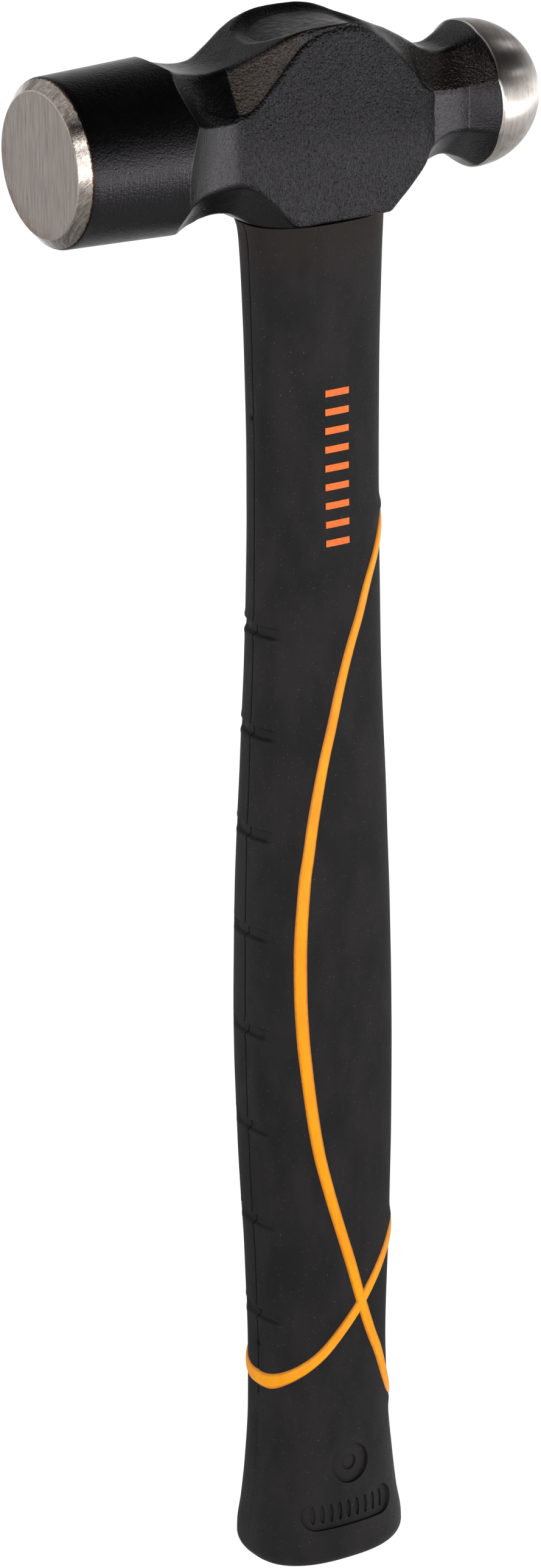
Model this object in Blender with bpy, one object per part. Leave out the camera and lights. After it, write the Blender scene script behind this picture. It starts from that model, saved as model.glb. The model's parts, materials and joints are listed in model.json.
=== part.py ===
"""Ball peen hammer with a moulded two-material handle.

The hammer stands upright. The origin is the middle of the handle's flat butt, +Z runs up the handle,
the striking face looks along -X, the ball peen along +X, and the cheeks of the head along +Y and -Y.
Every sub-part is one closed solid, and neighbours keep a gap of GAP.
"""

import math

import bmesh
import bpy

MM = 0.001
GAP = 0.3 * MM

# Head: heights are from the head's own axis, and x is from the handle's axis.
HEAD_Z = 333.5 * MM
FACE_X = -66.5 * MM
FACE_CHAMFER = 2.5 * MM
POLL_RADIUS_AT_FACE = 18.0 * MM
POLL_RADIUS_AT_NECK = 19.05 * MM
POLL_NECK_X = -38.0 * MM
BALL_X = 39.5 * MM
BALL_RADIUS = 16.0 * MM
BALL_TIP_ANGLE = math.radians(84)
UNDERSIDE = 19.2 * MM

# The head's section is an octagon whose corners follow these lines, as (x, height or half width) in mm.
TOP_LINE = [
    (-42, 20.0), (-36, 16.5), (-29, 15.2), (-24, 15.8), (-17, 19.2), (-11, 21.6), (-1, 23.0),
    (7, 22.2), (14, 19.5), (22, 15.0), (30, 11.5), (34, 12.2), (39, 14.9), (42, 17.0),
]
TOP_HALF_WIDTH = [
    (-42, 8.4), (-36, 7.0), (-27, 6.1), (-19, 8.8), (-11, 11.1), (-3, 11.6), (7, 10.9),
    (14, 9.0), (22, 5.8), (30, 5.1), (36, 5.7), (42, 7.2),
]
UPPER_CORNER_HALF_WIDTH = [
    (-42, 20.8), (-39, 18.2), (-36, 15.8), (-33, 14.0), (-30, 12.8), (-25, 12.1), (21, 12.1),
    (25, 11.3), (30, 11.1), (36, 13.2), (39, 15.1), (42, 18.0),
]
UPPER_CORNER_Z = [
    (-42, 8.8), (-36, 6.8), (-28, 5.3), (-24, 5.6), (-18, 9.9), (-11, 16.9), (-5, 20.3), (0, 21.0),
    (6, 20.2), (11, 17.3), (19, 9.5), (22, 5.3), (30, 4.4), (36, 5.2), (42, 7.2),
]
LOWER_CORNER_HALF_WIDTH = [
    (-42, 18.0), (-38, 15.2), (-33, 13.4), (-25, 12.1), (21, 12.1), (25, 11.3), (30, 11.1),
    (36, 13.2), (39, 15.1), (42, 18.0),
]
LOWER_CORNER_Z = [
    (-42, 10.6), (-38, 9.2), (-31, 7.9), (-25, 7.8), (-21, 9.3), (-11, 19.1), (11, 19.1),
    (13, 18.5), (17, 15.5), (21.4, 10.4), (26, 5.8), (30, 4.7), (36, 5.0), (42, 7.0),
]
BOTTOM_HALF_WIDTH = [
    (-42, 8.4), (-36, 7.0), (-28, 6.3), (-17, 7.2), (-11, 12.0), (11, 12.0), (16, 8.2), (22, 5.8),
    (30, 4.8), (36, 5.5), (42, 7.2),
]
BOTTOM_LINE = [
    (-42, 20.0), (-36, 16.5), (-28, 15.1), (-23, 16.2), (-17, 19.2), (14, 19.2), (18, 17.0),
    (22, 14.9), (30, 11.2), (34, 12.1), (39, 14.9), (42, 17.0),
]

# Eye: an oval hole through the head, narrowest on the head's axis.
EYE_X = -0.6 * MM
EYE_WAIST = (12.6 * MM, 8.4 * MM)
EYE_BOTTOM = (13.4 * MM, 9.2 * MM)
EYE_TOP = (14.6 * MM, 9.9 * MM)
EYE_STRAIGHT_TOP = 17.0 * MM
CORE_TOP = 14.0 * MM
DISH_LIP = 1.0 * MM
DISH_DEPTH = 1.5 * MM

# Handle: its section is a superellipse, deeper at the front than at the back, as (height, size) in mm.
HANDLE_TOP = 314.0 * MM
SECTION_POWER = 2.5
BUTT_EDGE = 4.5 * MM
FRONT_DEPTH = [
    (0, 19.3), (6, 19.2), (13, 18.2), (22, 17.2), (35, 16.4), (50, 16.1), (75, 16.7), (100, 17.9),
    (130, 18.6), (160, 18.2), (190, 16.9), (215, 15.7), (235, 15.1), (260, 14.8), (290, 15.2),
    (307, 15.8), (311, 16.2), (314, 17.3),
]
BACK_DEPTH = [
    (0, 18.9), (6, 18.8), (13, 17.7), (22, 16.7), (35, 15.6), (53, 15.0), (80, 15.9), (130, 16.5),
    (175, 16.05), (215, 15.1), (240, 15.0), (280, 15.2), (304, 15.7), (314, 16.1),
]
HALF_WIDTH = [
    (0, 14.4), (6, 14.3), (13, 13.6), (22, 12.9), (35, 12.4), (50, 12.5), (75, 13.1), (100, 13.9),
    (125, 14.1), (150, 13.6), (190, 11.7), (215, 10.7), (240, 10.0), (260, 9.8), (285, 10.2),
    (314, 11.4),
]

# Under the soft grip lies a hard jacket, whose ribs come up through the grip as coloured bands.
GRIP_THICKNESS = 2.2 * MM
BAND_HALF_WIDTH = 1.4 * MM
BAND_PROUD = 0.4 * MM
LOOP_LINE = [
    (32, 17.5), (39, 13.2), (50, 8.6), (63, 3.6), (74, 0.2), (93, -5.6), (112, -9.4), (139, -11.6),
    (166, -10.1), (187, -6.4), (210, -0.3), (232, 8.0), (246, 14.2), (252, 17.5),
]
RING_LINE = [(-22, 43.6), (-16, 45.0), (-11, 49.3), (-3, 56.4), (4, 64.0), (14, 77.5), (22, 90.0)]

# Core: a rod from just above the butt up into the head.
CORE_DEPTH = 8.6 * MM
CORE_HALF_WIDTH = 6.0 * MM
CORE_BOTTOM = 9.0 * MM

# Finger grooves across the front edge.
GROOVE_COUNT = 8
GROOVE_LOWEST = 61.2 * MM
GROOVE_PITCH = 23.05 * MM
GROOVE_HEIGHT = 2.5 * MM
GROOVE_DEPTH = 0.9 * MM
GROOVE_HALF_SPAN = 6.6 * MM
GROOVE_RUN_OUT = 0.1 * MM

# How finely each surface is divided. The head's stations, in mm, fall where its facets turn.
HEAD_STATIONS = [
    -42, -40.5, -39, -37.5, -36, -33, -30, -27, -24.5, -22, -19.5, -17, -14, -11, -7, -3, 1, 5, 8, 11,
    13, 15.5, 18, 21.3, 24, 27, 30, 33, 35.5, 38, 39.5, 41,
]
POINTS_PER_FACET = 4
BALL_RINGS = 7
SECTION_POINTS = 32
GRIP_STEP = 12.0 * MM
LOOP_STEP = 9.0 * MM
RING_STEP = 4.0 * MM
REACH = 40.0 * MM


def smooth(line, at):
    """The value at `at`, in metres, on a smooth curve through a line's points, with no overshoot."""
    at = at / MM
    if at <= line[0][0]:
        return line[0][1] * MM
    if at >= line[-1][0]:
        return line[-1][1] * MM
    steps = [b[0] - a[0] for a, b in zip(line, line[1:])]
    slopes = [(b[1] - a[1]) / step for a, b, step in zip(line, line[1:], steps)]
    i = max(k for k in range(len(steps)) if line[k][0] <= at)

    def tangent(k):
        if k in (0, len(line) - 1):
            return slopes[min(k, len(slopes) - 1)]
        before, after = slopes[k - 1], slopes[k]
        return 0.0 if before * after <= 0 else 2 * before * after / (before + after)

    t = (at - line[i][0]) / steps[i]
    start, end = line[i][1], line[i + 1][1]
    rise = end - start
    bend_in = tangent(i) * steps[i] - rise
    bend_out = rise - tangent(i + 1) * steps[i]
    return (start + t * rise + t * (1 - t) * ((1 - t) * bend_in + t * bend_out)) * MM


def spaced(low, high, step):
    """Evenly spaced values from low to high, no further apart than step."""
    count = max(1, math.ceil((high - low) / step - 1e-6))
    return [low + (high - low) * k / count for k in range(count + 1)]


def solid(name, rings, material=None):
    """One closed mesh through rings of points, with a flat cap on each end."""
    mesh = bpy.data.meshes.new(name)
    bm = bmesh.new()
    rows = [[bm.verts.new(point) for point in ring] for ring in rings]
    for row, following in zip(rows, rows[1:]):
        for k in range(len(row)):
            after = (k + 1) % len(row)
            bm.faces.new((row[k], row[after], following[after], following[k]))
    bm.faces.new(list(reversed(rows[0])))
    bm.faces.new(rows[-1])
    bmesh.ops.recalc_face_normals(bm, faces=bm.faces)
    bm.to_mesh(mesh)
    bm.free()
    mesh.shade_smooth()
    mesh.set_sharp_from_angle(angle=math.radians(35))
    if material:
        mesh.materials.append(material)
    made = bpy.data.objects.new(name, mesh)
    bpy.context.scene.collection.objects.link(made)
    return made


def cutter(made):
    made.hide_render = True
    made.display_type = "WIRE"
    return made


def cut(target, tool, operation):
    boolean = target.modifiers.new(f"{operation.lower()}_{tool.name}", "BOOLEAN")
    boolean.operation = operation
    boolean.solver = "EXACT"
    boolean.object = tool


def paint(name, colour, roughness, metallic=0.0):
    material = bpy.data.materials.new(name)
    material.use_nodes = True
    shader = material.node_tree.nodes["Principled BSDF"]
    shader.inputs["Base Color"].default_value = (*colour, 1.0)
    shader.inputs["Roughness"].default_value = roughness
    shader.inputs["Metallic"].default_value = metallic
    return material


def oval(depth_front, depth_back, half_width, z, centre_x=0.0, count=SECTION_POINTS):
    """A superellipse round the handle's axis, whose front, at -X, and back differ in depth."""
    ring = []
    for k in range(count):
        angle = 2 * math.pi * (k + 0.5) / count
        along, across = math.cos(angle), math.sin(angle)
        depth = depth_back if along > 0 else depth_front
        x = math.copysign(abs(along) ** (2 / SECTION_POWER), along) * depth
        y = math.copysign(abs(across) ** (2 / SECTION_POWER), across) * half_width
        ring.append((centre_x + x, y, z))
    return ring


def head_section(x):
    """The octagon's corners on the +Y side, from the top round to the bottom."""
    return [
        (smooth(TOP_HALF_WIDTH, x), smooth(TOP_LINE, x)),
        (smooth(UPPER_CORNER_HALF_WIDTH, x), smooth(UPPER_CORNER_Z, x)),
        (smooth(LOWER_CORNER_HALF_WIDTH, x), -smooth(LOWER_CORNER_Z, x)),
        (smooth(BOTTOM_HALF_WIDTH, x), -smooth(BOTTOM_LINE, x)),
    ]


def round_limit(x):
    """The radius that the poll's cone and the peen's ball allow at x, or None along the eye block."""
    if x < POLL_NECK_X:
        share = (x - FACE_X) / (POLL_NECK_X - FACE_X)
        return POLL_RADIUS_AT_FACE + share * (POLL_RADIUS_AT_NECK - POLL_RADIUS_AT_FACE)
    if x < BALL_X:
        return BALL_RADIUS if x > BALL_X - BALL_RADIUS else None
    return math.sqrt(max(BALL_RADIUS**2 - (x - BALL_X) ** 2, 0.0))


def head_ring(x, radius=None):
    """The head's outline at x: a circle if a radius is given, else the octagon trimmed to poll or ball."""
    right = head_section(x)
    corners = right + [(-y, z) for y, z in reversed(right)]
    limit = round_limit(x) if radius is None else radius
    ring = []
    for k, (y0, z0) in enumerate(corners):
        y1, z1 = corners[(k + 1) % len(corners)]
        for part in range(POINTS_PER_FACET):
            share = part / POINTS_PER_FACET
            y = y0 + share * (y1 - y0)
            z = z0 + share * (z1 - z0)
            reach = math.hypot(y, z)
            inside = limit is None or (radius is None and reach <= limit)
            trim = 1.0 if inside else limit / reach
            ring.append((x, y * trim, HEAD_Z + z * trim))
    return ring


def make_head(material):
    """The forging: chamfered face, round poll, octagonal necks, eye block and ball, in one loft."""
    rings = [
        head_ring(FACE_X, POLL_RADIUS_AT_FACE - FACE_CHAMFER),
        head_ring(FACE_X + FACE_CHAMFER, POLL_RADIUS_AT_FACE),
    ]
    rings += [head_ring(x * MM) for x in HEAD_STATIONS]
    start = math.asin((HEAD_STATIONS[-1] * MM - BALL_X) / BALL_RADIUS)
    for k in range(1, BALL_RINGS + 1):
        turn = start + (BALL_TIP_ANGLE - start) * k / BALL_RINGS
        rings.append(head_ring(BALL_X + BALL_RADIUS * math.sin(turn), BALL_RADIUS * math.cos(turn)))
    return solid("head", rings, material)


def eye_rings(low, high, shrink=0.0, step=6.0 * MM):
    """Sections of the eye between two heights above the head's axis."""
    rings = []
    for z in spaced(low, high, step):
        mouth = EYE_TOP if z > 0 else EYE_BOTTOM
        share = min((z / UNDERSIDE) ** 2, 1.0)
        depth = EYE_WAIST[0] + share * (mouth[0] - EYE_WAIST[0]) - shrink
        half = EYE_WAIST[1] + share * (mouth[1] - EYE_WAIST[1]) - shrink
        rings.append(oval(depth, depth, half, HEAD_Z + z, EYE_X))
    return rings


def make_eye_cutter():
    return cutter(solid("eye_cutter", eye_rings(-UNDERSIDE - 3 * MM, UNDERSIDE + 9 * MM)))


def core_section(z, grow=0.0):
    return oval(CORE_DEPTH + grow, CORE_DEPTH + grow, CORE_HALF_WIDTH + grow, z, count=24)


def make_core(material):
    return solid("core_rod", [core_section(CORE_BOTTOM), core_section(HEAD_Z + CORE_TOP)], material)


def make_core_cutter(bottom, top, name):
    rings = [core_section(bottom, GAP), core_section(top, GAP)]
    return cutter(solid(name, rings))


def make_eye_filler(material):
    """The plastic cast round the core in the eye. Its top is dished and closes over the core."""
    rings = eye_rings(-UNDERSIDE + GAP, EYE_STRAIGHT_TOP, GAP)
    for share in (1.0, 0.75, 0.5, 0.25):
        ring = []
        for x, y, _ in oval(EYE_TOP[0] - GAP, EYE_TOP[0] - GAP, EYE_TOP[1] - GAP, 0.0):
            x = EYE_X + x * share
            sink = DISH_LIP + DISH_DEPTH * (1 - share**2)
            ring.append((x, y * share, HEAD_Z + smooth(TOP_LINE, x) - sink))
        rings.append(ring)
    filler = solid("eye_filler", rings, material)
    bore = make_core_cutter(HANDLE_TOP - REACH, HEAD_Z + CORE_TOP + GAP, "filler_bore_cutter")
    cut(filler, bore, "DIFFERENCE")
    return filler


def handle_rings(inset, bottom, top):
    """Sections of the handle, `inset` inside its outer surface, with a rounded edge at the butt."""
    rings = []
    edge = max(BUTT_EDGE - inset, MM)
    for turn in (0, 30, 60):
        angle = math.radians(turn)
        z = bottom + edge * (1 - math.cos(angle))
        tuck = inset + edge * (1 - math.sin(angle))
        rings.append(handle_section(z, tuck))
    for z in spaced(bottom + edge, top, GRIP_STEP):
        rings.append(handle_section(z, inset))
    return rings


def handle_section(z, inset):
    front, back, half = (smooth(line, z) for line in (FRONT_DEPTH, BACK_DEPTH, HALF_WIDTH))
    return oval(front - inset, back - inset, half - inset, z)


def prism(name, outline):
    """An outline of (x, z) points, carried across the whole handle along Y."""
    return cutter(solid(name, [[(x, y, z) for x, z in outline] for y in (-REACH, REACH)]))


def offset_line(points, distance):
    """Points moved sideways by distance, to the left of the direction of travel."""
    moved = []
    for k, (x, z) in enumerate(points):
        x0, z0 = points[max(k - 1, 0)]
        x1, z1 = points[min(k + 1, len(points) - 1)]
        length = math.hypot(x1 - x0, z1 - z0)
        moved.append((x - (z1 - z0) / length * distance, z + (x1 - x0) / length * distance))
    return moved


def loop_line(distance=0.0):
    """The long loop's middle line from low to high, moved towards the front by distance."""
    low, high = LOOP_LINE[0][0] * MM, LOOP_LINE[-1][0] * MM
    points = [(smooth(LOOP_LINE, z), z) for z in spaced(low, high, LOOP_STEP)]
    return offset_line(points, distance)


def ring_line(distance=0.0):
    """The tilted ring's middle line from front to back, moved up by distance."""
    low, high = RING_LINE[0][0] * MM, RING_LINE[-1][0] * MM
    points = [(x, smooth(RING_LINE, x)) for x in spaced(low, high, RING_STEP)]
    return offset_line(points, distance)


def behind_loop(name, distance):
    """Everything behind the loop's line moved towards the front by distance."""
    line = loop_line(distance)
    return prism(name, line + [(REACH, line[-1][1]), (REACH, line[0][1])])


def below_ring(name, distance):
    line = ring_line(distance)
    return prism(name, line + [(REACH, -REACH), (-REACH, -REACH), (-REACH, line[0][1])])


def make_jacket(material, bore):
    """The hard jacket on the core, with its ribs standing up to just above the grip's surface."""
    inset = GRIP_THICKNESS
    jacket = solid("handle_jacket", handle_rings(inset, GRIP_THICKNESS, HANDLE_TOP), material)
    proud = cutter(solid("band_surface", handle_rings(-BAND_PROUD, 0.0, HANDLE_TOP)))
    for name, middle in (("loop_band", loop_line), ("ring_band", ring_line)):
        outline = middle(BAND_HALF_WIDTH) + list(reversed(middle(-BAND_HALF_WIDTH)))
        band = prism(name, outline)
        cut(band, proud, "INTERSECT")
        cut(jacket, band, "UNION")
    cut(jacket, bore, "DIFFERENCE")
    return jacket


def make_groove_cutters():
    """Eight shallow channels that wrap round the front edge and fade out at both ends."""
    made = []
    for k in range(GROOVE_COUNT):
        middle = GROOVE_LOWEST + k * GROOVE_PITCH
        front = smooth(FRONT_DEPTH, middle)
        half = smooth(HALF_WIDTH, middle)
        inner = []
        for step in range(-4, 5):
            y = GROOVE_HALF_SPAN * step / 4
            depth = GROOVE_DEPTH * (1 - (step / 4) ** 4) - GROOVE_RUN_OUT
            surface = front * (1 - (abs(y) / half) ** SECTION_POWER) ** (1 / SECTION_POWER)
            inner.append((-surface + depth, y))
        outline = inner + [(-front - 2 * MM, GROOVE_HALF_SPAN), (-front - 2 * MM, -GROOVE_HALF_SPAN)]
        low, high = middle - GROOVE_HEIGHT / 2, middle + GROOVE_HEIGHT / 2
        rings = [[(x, y, z) for x, y in outline] for z in (low, high)]
        made.append(cutter(solid(f"groove_cutter_{k + 1}", rings)))
    return made


def make_grips(material):
    """The soft grip, which the ribs divide into four separate pieces of rubber."""
    clear = BAND_HALF_WIDTH + GAP
    inside = cutter(
        solid("jacket_space", handle_rings(GRIP_THICKNESS - GAP, GRIP_THICKNESS - GAP, HANDLE_TOP + MM))
    )
    behind_wide = behind_loop("behind_loop_wide", clear)
    behind_narrow = behind_loop("behind_loop_narrow", -clear)
    below_high = below_ring("below_ring_high", clear)
    below_low = below_ring("below_ring_low", -clear)
    plan = {
        "front_grip": ((behind_wide, "DIFFERENCE"), (below_high, "DIFFERENCE")),
        "back_grip": ((behind_narrow, "INTERSECT"), (below_high, "DIFFERENCE")),
        "heel_grip": ((behind_narrow, "INTERSECT"), (below_low, "INTERSECT")),
        "butt_grip": ((behind_wide, "DIFFERENCE"), (below_low, "INTERSECT")),
    }
    made = {}
    for name, cuts in plan.items():
        grip = solid(name, handle_rings(0.0, 0.0, HANDLE_TOP), material)
        cut(grip, inside, "DIFFERENCE")
        for tool, operation in cuts:
            cut(grip, tool, operation)
        made[name] = grip
    for tool in make_groove_cutters():
        cut(made["front_grip"], tool, "DIFFERENCE")
    return made


def main():
    for old in list(bpy.data.objects):
        bpy.data.objects.remove(old)
    lacquer = paint("black_lacquer", (0.02, 0.02, 0.023), 0.4)
    resin = paint("eye_resin", (0.02, 0.02, 0.02), 0.55)
    fibre = paint("glass_fibre", (0.75, 0.72, 0.5), 0.5)
    orange = paint("orange_plastic", (0.85, 0.3, 0.02), 0.4)
    rubber = paint("black_rubber", (0.018, 0.018, 0.018), 0.7)
    head = make_head(lacquer)
    cut(head, make_eye_cutter(), "DIFFERENCE")
    make_eye_filler(resin)
    make_core(fibre)
    bore = make_core_cutter(CORE_BOTTOM - GAP, HANDLE_TOP + REACH, "jacket_bore_cutter")
    make_jacket(orange, bore)
    make_grips(rubber)


main()
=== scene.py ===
"""Looks of the ball peen hammer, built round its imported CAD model.

Lengths in the outlines below are in millimetres. The handle's axis is x = y = 0, and the head's
outlines are measured from the head's own axis.
"""

import functools
import json
import math

import bmesh
import bpy
import numpy as np
from mathutils import Matrix, Vector, noise


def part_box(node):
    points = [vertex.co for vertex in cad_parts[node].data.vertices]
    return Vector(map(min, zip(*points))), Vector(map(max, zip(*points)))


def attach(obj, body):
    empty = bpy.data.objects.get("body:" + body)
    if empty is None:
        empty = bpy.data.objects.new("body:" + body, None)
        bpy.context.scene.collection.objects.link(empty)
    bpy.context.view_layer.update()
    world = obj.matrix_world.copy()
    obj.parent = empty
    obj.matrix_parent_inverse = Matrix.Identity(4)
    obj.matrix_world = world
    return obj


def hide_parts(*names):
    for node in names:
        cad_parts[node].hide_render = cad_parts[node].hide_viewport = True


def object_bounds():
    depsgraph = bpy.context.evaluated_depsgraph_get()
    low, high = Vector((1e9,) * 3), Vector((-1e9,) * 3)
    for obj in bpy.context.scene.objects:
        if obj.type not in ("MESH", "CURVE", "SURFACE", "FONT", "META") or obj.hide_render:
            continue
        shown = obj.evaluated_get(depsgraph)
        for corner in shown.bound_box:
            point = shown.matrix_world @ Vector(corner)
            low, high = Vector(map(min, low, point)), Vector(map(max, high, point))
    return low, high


MM = 0.001
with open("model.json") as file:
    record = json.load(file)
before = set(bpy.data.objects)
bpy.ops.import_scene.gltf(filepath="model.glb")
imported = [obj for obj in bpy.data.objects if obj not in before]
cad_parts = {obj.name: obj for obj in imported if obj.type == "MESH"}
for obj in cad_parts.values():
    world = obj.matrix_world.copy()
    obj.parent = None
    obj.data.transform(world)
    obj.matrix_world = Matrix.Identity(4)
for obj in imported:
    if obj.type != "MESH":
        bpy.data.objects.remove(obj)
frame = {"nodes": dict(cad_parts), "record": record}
cad_low, cad_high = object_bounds()
MOUNTS = {mount["name"]: mount["pos_m"] for mount in frame["record"]["mounts"]}
HEAD_Z = MOUNTS["striking_face"][2] / MM
FACE_X = MOUNTS["striking_face"][0] / MM
CHEEK = MOUNTS["right_cheek"][1] / MM


def line(*points):
    """A smooth curve with no overshoot through (position, value) points, as a function."""
    at, values = np.array(points, float).T
    steps = np.diff(at)
    slopes = np.diff(values) / steps
    before, after = slopes[:-1], slopes[1:]
    same = before * after > 0
    mean = 2 * before * after / np.where(same, before + after, 1)
    tangents = np.concatenate([slopes[:1], np.where(same, mean, 0), slopes[-1:]])

    def value(x):
        x = np.clip(np.asarray(x, float), at[0], at[-1])
        i = np.clip(np.searchsorted(at, x, side="right") - 1, 0, len(steps) - 1)
        t = (x - at[i]) / steps[i]
        rise = values[i + 1] - values[i]
        bend_in = tangents[i] * steps[i] - rise
        bend_out = rise - tangents[i + 1] * steps[i]
        return values[i] + t * rise + t * (1 - t) * ((1 - t) * bend_in + t * bend_out)

    return value


def fade(x, low, high):
    """0 below low, 1 above high, with a smooth rise between."""
    t = np.clip((np.asarray(x, float) - low) / (high - low), 0, 1)
    return t * t * (3 - 2 * t)


def window(x, low, high, soft):
    """1 between low and high, fading to 0 over soft on each side."""
    return fade(x, low - soft, low) * (1 - fade(x, high, high + soft))


def bell(x, middle, width):
    """1 at the middle, with a smooth fall to 0 on both sides."""
    return np.exp(-(((x - middle) / width) ** 2))


def length(vectors):
    """Lengths along the last axis, which is kept."""
    return np.linalg.norm(vectors, axis=-1, keepdims=True)


def bumps(points, scale, seed):
    """Smooth noise from -1 to 1 at each point. scale is the size of a bump in mm."""
    shift = Vector((seed * 17.3, seed * -9.1, seed * 5.7))
    flat = points.reshape(-1, 3)
    found = [noise.noise(Vector(p) / scale + shift) for p in flat]
    return np.array(found).reshape(points.shape[:-1])


def superellipse(turn, power, half_x, half_y):
    """x and y of a rounded rectangle at each turn. It is squarer with a lower power."""
    along, across = np.cos(turn), np.sin(turn)
    x = np.sign(along) * np.abs(along) ** power * half_x
    y = np.sign(across) * np.abs(across) ** power * half_y
    return x, y


def ring_at(outline, z):
    """Points of an outline, given as x and y, at a height z or at one height for each point."""
    x, y = outline
    return np.column_stack([x, y, np.broadcast_to(z, x.shape)])


def quads(rows, count, first=0):
    """Faces between closed rows of count points each. first is the number of the first point."""
    faces = []
    for i in range(rows - 1):
        a, b = first + i * count, first + (i + 1) * count
        for k in range(count):
            after = (k + 1) % count
            faces.append((a + k, a + after, b + after, b + k))
    return faces


def new_object(name, points, faces, materials=(), indices=None):
    """A piece from points in mm and faces, each a list of point numbers."""
    mesh = bpy.data.meshes.new(name)
    mesh.from_pydata((np.asarray(points) * MM).tolist(), [], faces)
    for material in materials:
        mesh.materials.append(material)
    if indices is not None:
        mesh.polygons.foreach_set("material_index", indices)
    mesh.shade_smooth()
    made = bpy.data.objects.new(name, mesh)
    bpy.context.scene.collection.objects.link(made)
    return made


def loft(name, rings, materials=()):
    """A closed piece through rings of points in mm."""
    count = len(rings[0])
    last = (len(rings) - 1) * count
    faces = quads(len(rings), count)
    faces += [tuple(range(count))[::-1], tuple(range(last, last + count))]
    return new_object(name, np.concatenate(rings), faces, materials)


def face_outward(made):
    """Turns every face of a closed piece to look outward."""
    bm = bmesh.new()
    bm.from_mesh(made.data)
    bmesh.ops.recalc_face_normals(bm, faces=bm.faces)
    bm.to_mesh(made.data)
    bm.free()


def crease(made, degrees):
    """Keeps edges that turn more than this from being shaded smooth."""
    made.data.set_sharp_from_angle(angle=math.radians(degrees))


def cut(target, tool):
    """Cuts the tool's shape out of a piece and removes the tool."""
    boolean = target.modifiers.new("cut", "BOOLEAN")
    boolean.operation, boolean.solver, boolean.object = "DIFFERENCE", "EXACT", tool
    graph = bpy.context.evaluated_depsgraph_get()
    mesh = bpy.data.meshes.new_from_object(target.evaluated_get(graph))
    target.modifiers.clear()
    target.data = mesh
    bpy.data.objects.remove(tool)


# ---------------------------------------------------------------- head outlines

TOP = line(
    (-43, 20.5), (-41, 19.05), (-39, 17.75), (-37, 16.8), (-35, 16.15), (-33, 15.7), (-31, 15.4),
    (-29, 15.3), (-27, 15.45), (-25, 15.9), (-23, 16.6), (-21, 17.5), (-19, 18.5), (-17, 19.5),
    (-15, 20.45), (-13, 21.3), (-11, 21.95), (-9, 22.48), (-7, 22.8), (-5, 22.98), (-1, 23.08),
    (3, 23.0), (5, 22.78), (7, 22.4), (9, 21.68), (11, 20.7), (13, 19.8), (15.5, 18.6),
    (19.3, 16.5), (22.2, 14.75), (24.5, 13.3), (27, 12.2), (28.5, 11.72), (30, 11.55),
    (31.5, 11.65), (33, 12.07), (34.5, 12.7), (36, 13.4), (37.5, 14.2), (39, 15.1), (42, 17.4),
)
TOP_HALF = line(
    (-43, 8.4), (-38.5, 7.4), (-35, 6.8), (-31, 6.4), (-27, 6.4), (-25, 7.0), (-23, 7.9),
    (-21, 8.7), (-19, 9.4), (-17, 10.1), (-15, 10.7), (-13, 11.1), (-11, 11.4), (-9, 11.6),
    (-5, 11.65), (-1, 11.55), (3, 11.2), (5, 10.8), (7, 10.0), (9, 8.9), (11, 7.8), (13, 7.1),
    (15.5, 6.6), (19.3, 6.0), (22.2, 5.3), (28.5, 5.1), (33, 5.3), (36, 5.7), (39, 6.2), (42, 7.0),
)
# the widest line of both halves from the cheek on to the ball
CHEEK_ON = (
    (-24.5, CHEEK), (21.3, CHEEK), (23, 11.7), (25, 11.3), (28, 11.05), (31, 11.15), (34, 12.1),
    (36, 13.2), (39, 15.1), (42, 17.6),
)
UPPER_HALF = line(
    (-43, 22.0), (-40, 19.4), (-38, 17.3), (-36, 15.7), (-33, 14.0), (-30, 12.85), (-27, 12.25),
    *CHEEK_ON,
)
UPPER_Z = line(
    (-43, 9.0), (-38, 7.4), (-34.5, 5.9), (-29.6, 5.3), (-26.5, 5.3), (-23.9, 5.8), (-20.9, 7.3),
    (-17.7, 10.1), (-14.2, 13.6), (-11.5, 16.5), (-8.4, 19.0), (-4.5, 20.6), (-0.7, 21.1),
    (3.25, 20.9), (7.05, 19.8), (11, 17.35), (14.8, 13.8), (18.8, 9.3), (21.1, 5.8), (23, 4.9),
    (30, 4.3), (35, 4.9), (39, 5.9), (42, 6.6),
)
LOWER_HALF = line(
    (-43, 18.9), (-40, 16.5), (-38, 15.3), (-35, 14.0), (-32, 13.1), (-28, 12.3), *CHEEK_ON,
)
LOWER_Z = line(
    (-43, 11.6), (-40, 10.2), (-37, 9.0), (-33, 8.1), (-28, 7.8), (-24.6, 7.9), (-21.4, 9.1),
    (-19.0, 10.85), (-16.6, 13.2), (-13.6, 16.3), (-12, 17.8), (-10.8, 18.7), (-9, 19.05),
    (10.6, 19.05), (12.2, 18.9), (13.4, 18.3), (14.9, 17.2), (17.3, 15.1), (19.4, 12.9),
    (21.6, 10.2), (23.2, 7.6), (25, 6.1), (28, 5.0), (31, 4.8), (35, 5.1), (39, 5.9), (42, 6.8),
)
BOTTOM_HALF = line(
    (-43, 8.4), (-36, 7.0), (-28, 6.3), (-19, 6.3), (-16.3, 7.2), (-13.5, 9.6), (-11.4, 11.2),
    (-9.5, 11.45), (10, 11.45), (12.8, 11.3), (16, 8.8), (22, 5.8), (30, 4.8), (36, 5.5), (42, 7.2),
)
BOTTOM = line(
    (-43, 20.8), (-36, 16.7), (-33.5, 16.0), (-31.7, 15.5), (-28, 15.15), (-24.5, 15.6),
    (-22, 16.8), (-19.5, 18.4), (-17.2, 19.2), (-15.4, 19.65), (-13.5, 19.75), (12.6, 19.75),
    (14.2, 19.4), (16, 18.5), (19, 16.5), (22, 14.6), (26, 12.1), (30, 11.2), (34, 12.2),
    (39, 15.1), (42, 17.4),
)
BOSS_STEP = line(
    (-43, 0), (-25.2, 0), (-23.2, 0.7), (-12, 0.75), (-6, 0.4), (6, 0.4), (11, 0.7), (19, 0.6),
    (21.5, 0), (42, 0),
)
BOSS_WALL = 0.55  # width of the step round the cheek, seen from the side
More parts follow.
